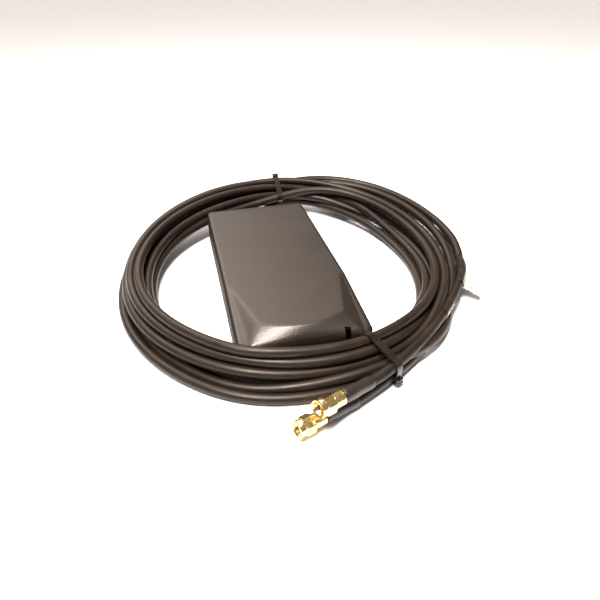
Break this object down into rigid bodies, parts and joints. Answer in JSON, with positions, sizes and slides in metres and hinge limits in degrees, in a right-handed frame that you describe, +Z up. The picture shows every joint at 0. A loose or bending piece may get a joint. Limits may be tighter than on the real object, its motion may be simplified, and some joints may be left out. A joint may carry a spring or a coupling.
{
  "type": "cellular signal booster antenna",
  "caption": "Low-profile cellular antenna: flat moulded housing with sloping front corners, coaxial leads in a tied coil around it, ending in screw-on gold plugs.",
  "frame": {"origin": "middle of the housing's underside, on the surface that it lies on", "axes": "+Y along the housing to the end where the leads leave it, +X to the right seen from the sloping front, +Z up out of the flat top"},
  "size_m": [0.2196, 0.2437, 0.0333],
  "materials": {
    "cover_abs": "fine moulded texture, satin",
    "base_abs": "fine moulded texture",
    "rubber": "matte",
    "foam_tape": "closed-cell foam, matte",
    "label_film": "white satin film",
    "fibreglass": "green solder resist",
    "copper": "etched copper",
    "solder": "bright tin alloy",
    "zinc_steel": "zinc plated",
    "soft_foam": "open-cell foam",
    "cable_jacket": "extruded PVC, satin",
    "ptfe": "natural white",
    "silicone": "soft seal",
    "heatshrink": "shrunk polyolefin, satin",
    "nylon": "moulded nylon, glossy",
    "gold_plate": "polished gold plate"
  },
  "bodies": {
    "root": {"adhesive_pad": "foam_tape", "antenna_board": "fibreglass", "base_plate": "base_abs", "board_screw_1": "zinc_steel", "board_screw_2": "zinc_steel", "board_screw_3": "zinc_steel", "board_screw_4": "zinc_steel", "centre_pin_a": "gold_plate", "centre_pin_b": "gold_plate", "clamp_screw_1": "zinc_steel", "clamp_screw_2": "zinc_steel", "coax_core_a": "ptfe", "coax_core_b": "ptfe", "cover_screw_1": "zinc_steel", "cover_screw_2": "zinc_steel", "cover_screw_3": "zinc_steel", "cover_screw_4": "zinc_steel", "crimp_ferrule_a": "gold_plate", "crimp_ferrule_b": "gold_plate", "element_a": "copper", "element_b": "copper", "flag_label": "label_film", "foam_spacer": "soft_foam", "ground_foil": "copper", "heatshrink_sleeve_a": "heatshrink", "heatshrink_sleeve_b": "heatshrink", "insulator_a": "ptfe", "insulator_b": "ptfe", "lead_a_feed": "cable_jacket", "lead_a_inner": "cable_jacket", "lead_a_tail": "cable_jacket", "lead_b_feed": "cable_jacket", "lead_b_inner": "cable_jacket", "lead_b_tail": "cable_jacket", "lead_clamp": "base_abs", "lead_coil": "cable_jacket", "lead_grommet_a": "rubber", "lead_grommet_b": "rubber", "nut_gasket_a": "silicone", "nut_gasket_b": "silicone", "plug_body_a": "gold_plate", "plug_body_b": "gold_plate", "release_liner": "label_film", "retaining_ring_a": "zinc_steel", "retaining_ring_b": "zinc_steel", "seal_gasket": "rubber", "solder_joint_a": "solder", "solder_joint_b": "solder", "tie_back": "nylon", "tie_front": "nylon", "top_cover": "cover_abs", "wrap_label_a": "label_film", "wrap_label_b": "label_film"},
    "nut_a": {"coupling_nut_a": "gold_plate"},
    "nut_b": {"coupling_nut_b": "gold_plate"}
  },
  "joints": [
    {"name": "nut_a_turn", "type": "hinge", "parent": "root", "child": "nut_a", "pos_m": [-0.0072, -0.116, 0.0136], "axis": [0.9005, 0.4193, -0.1151], "continuous": true},
    {"name": "nut_b_turn", "type": "hinge", "parent": "root", "child": "nut_b", "pos_m": [-0.0167, -0.1172, 0.0051], "axis": [0.9396, 0.3399, -0.04], "continuous": true}
  ]
}
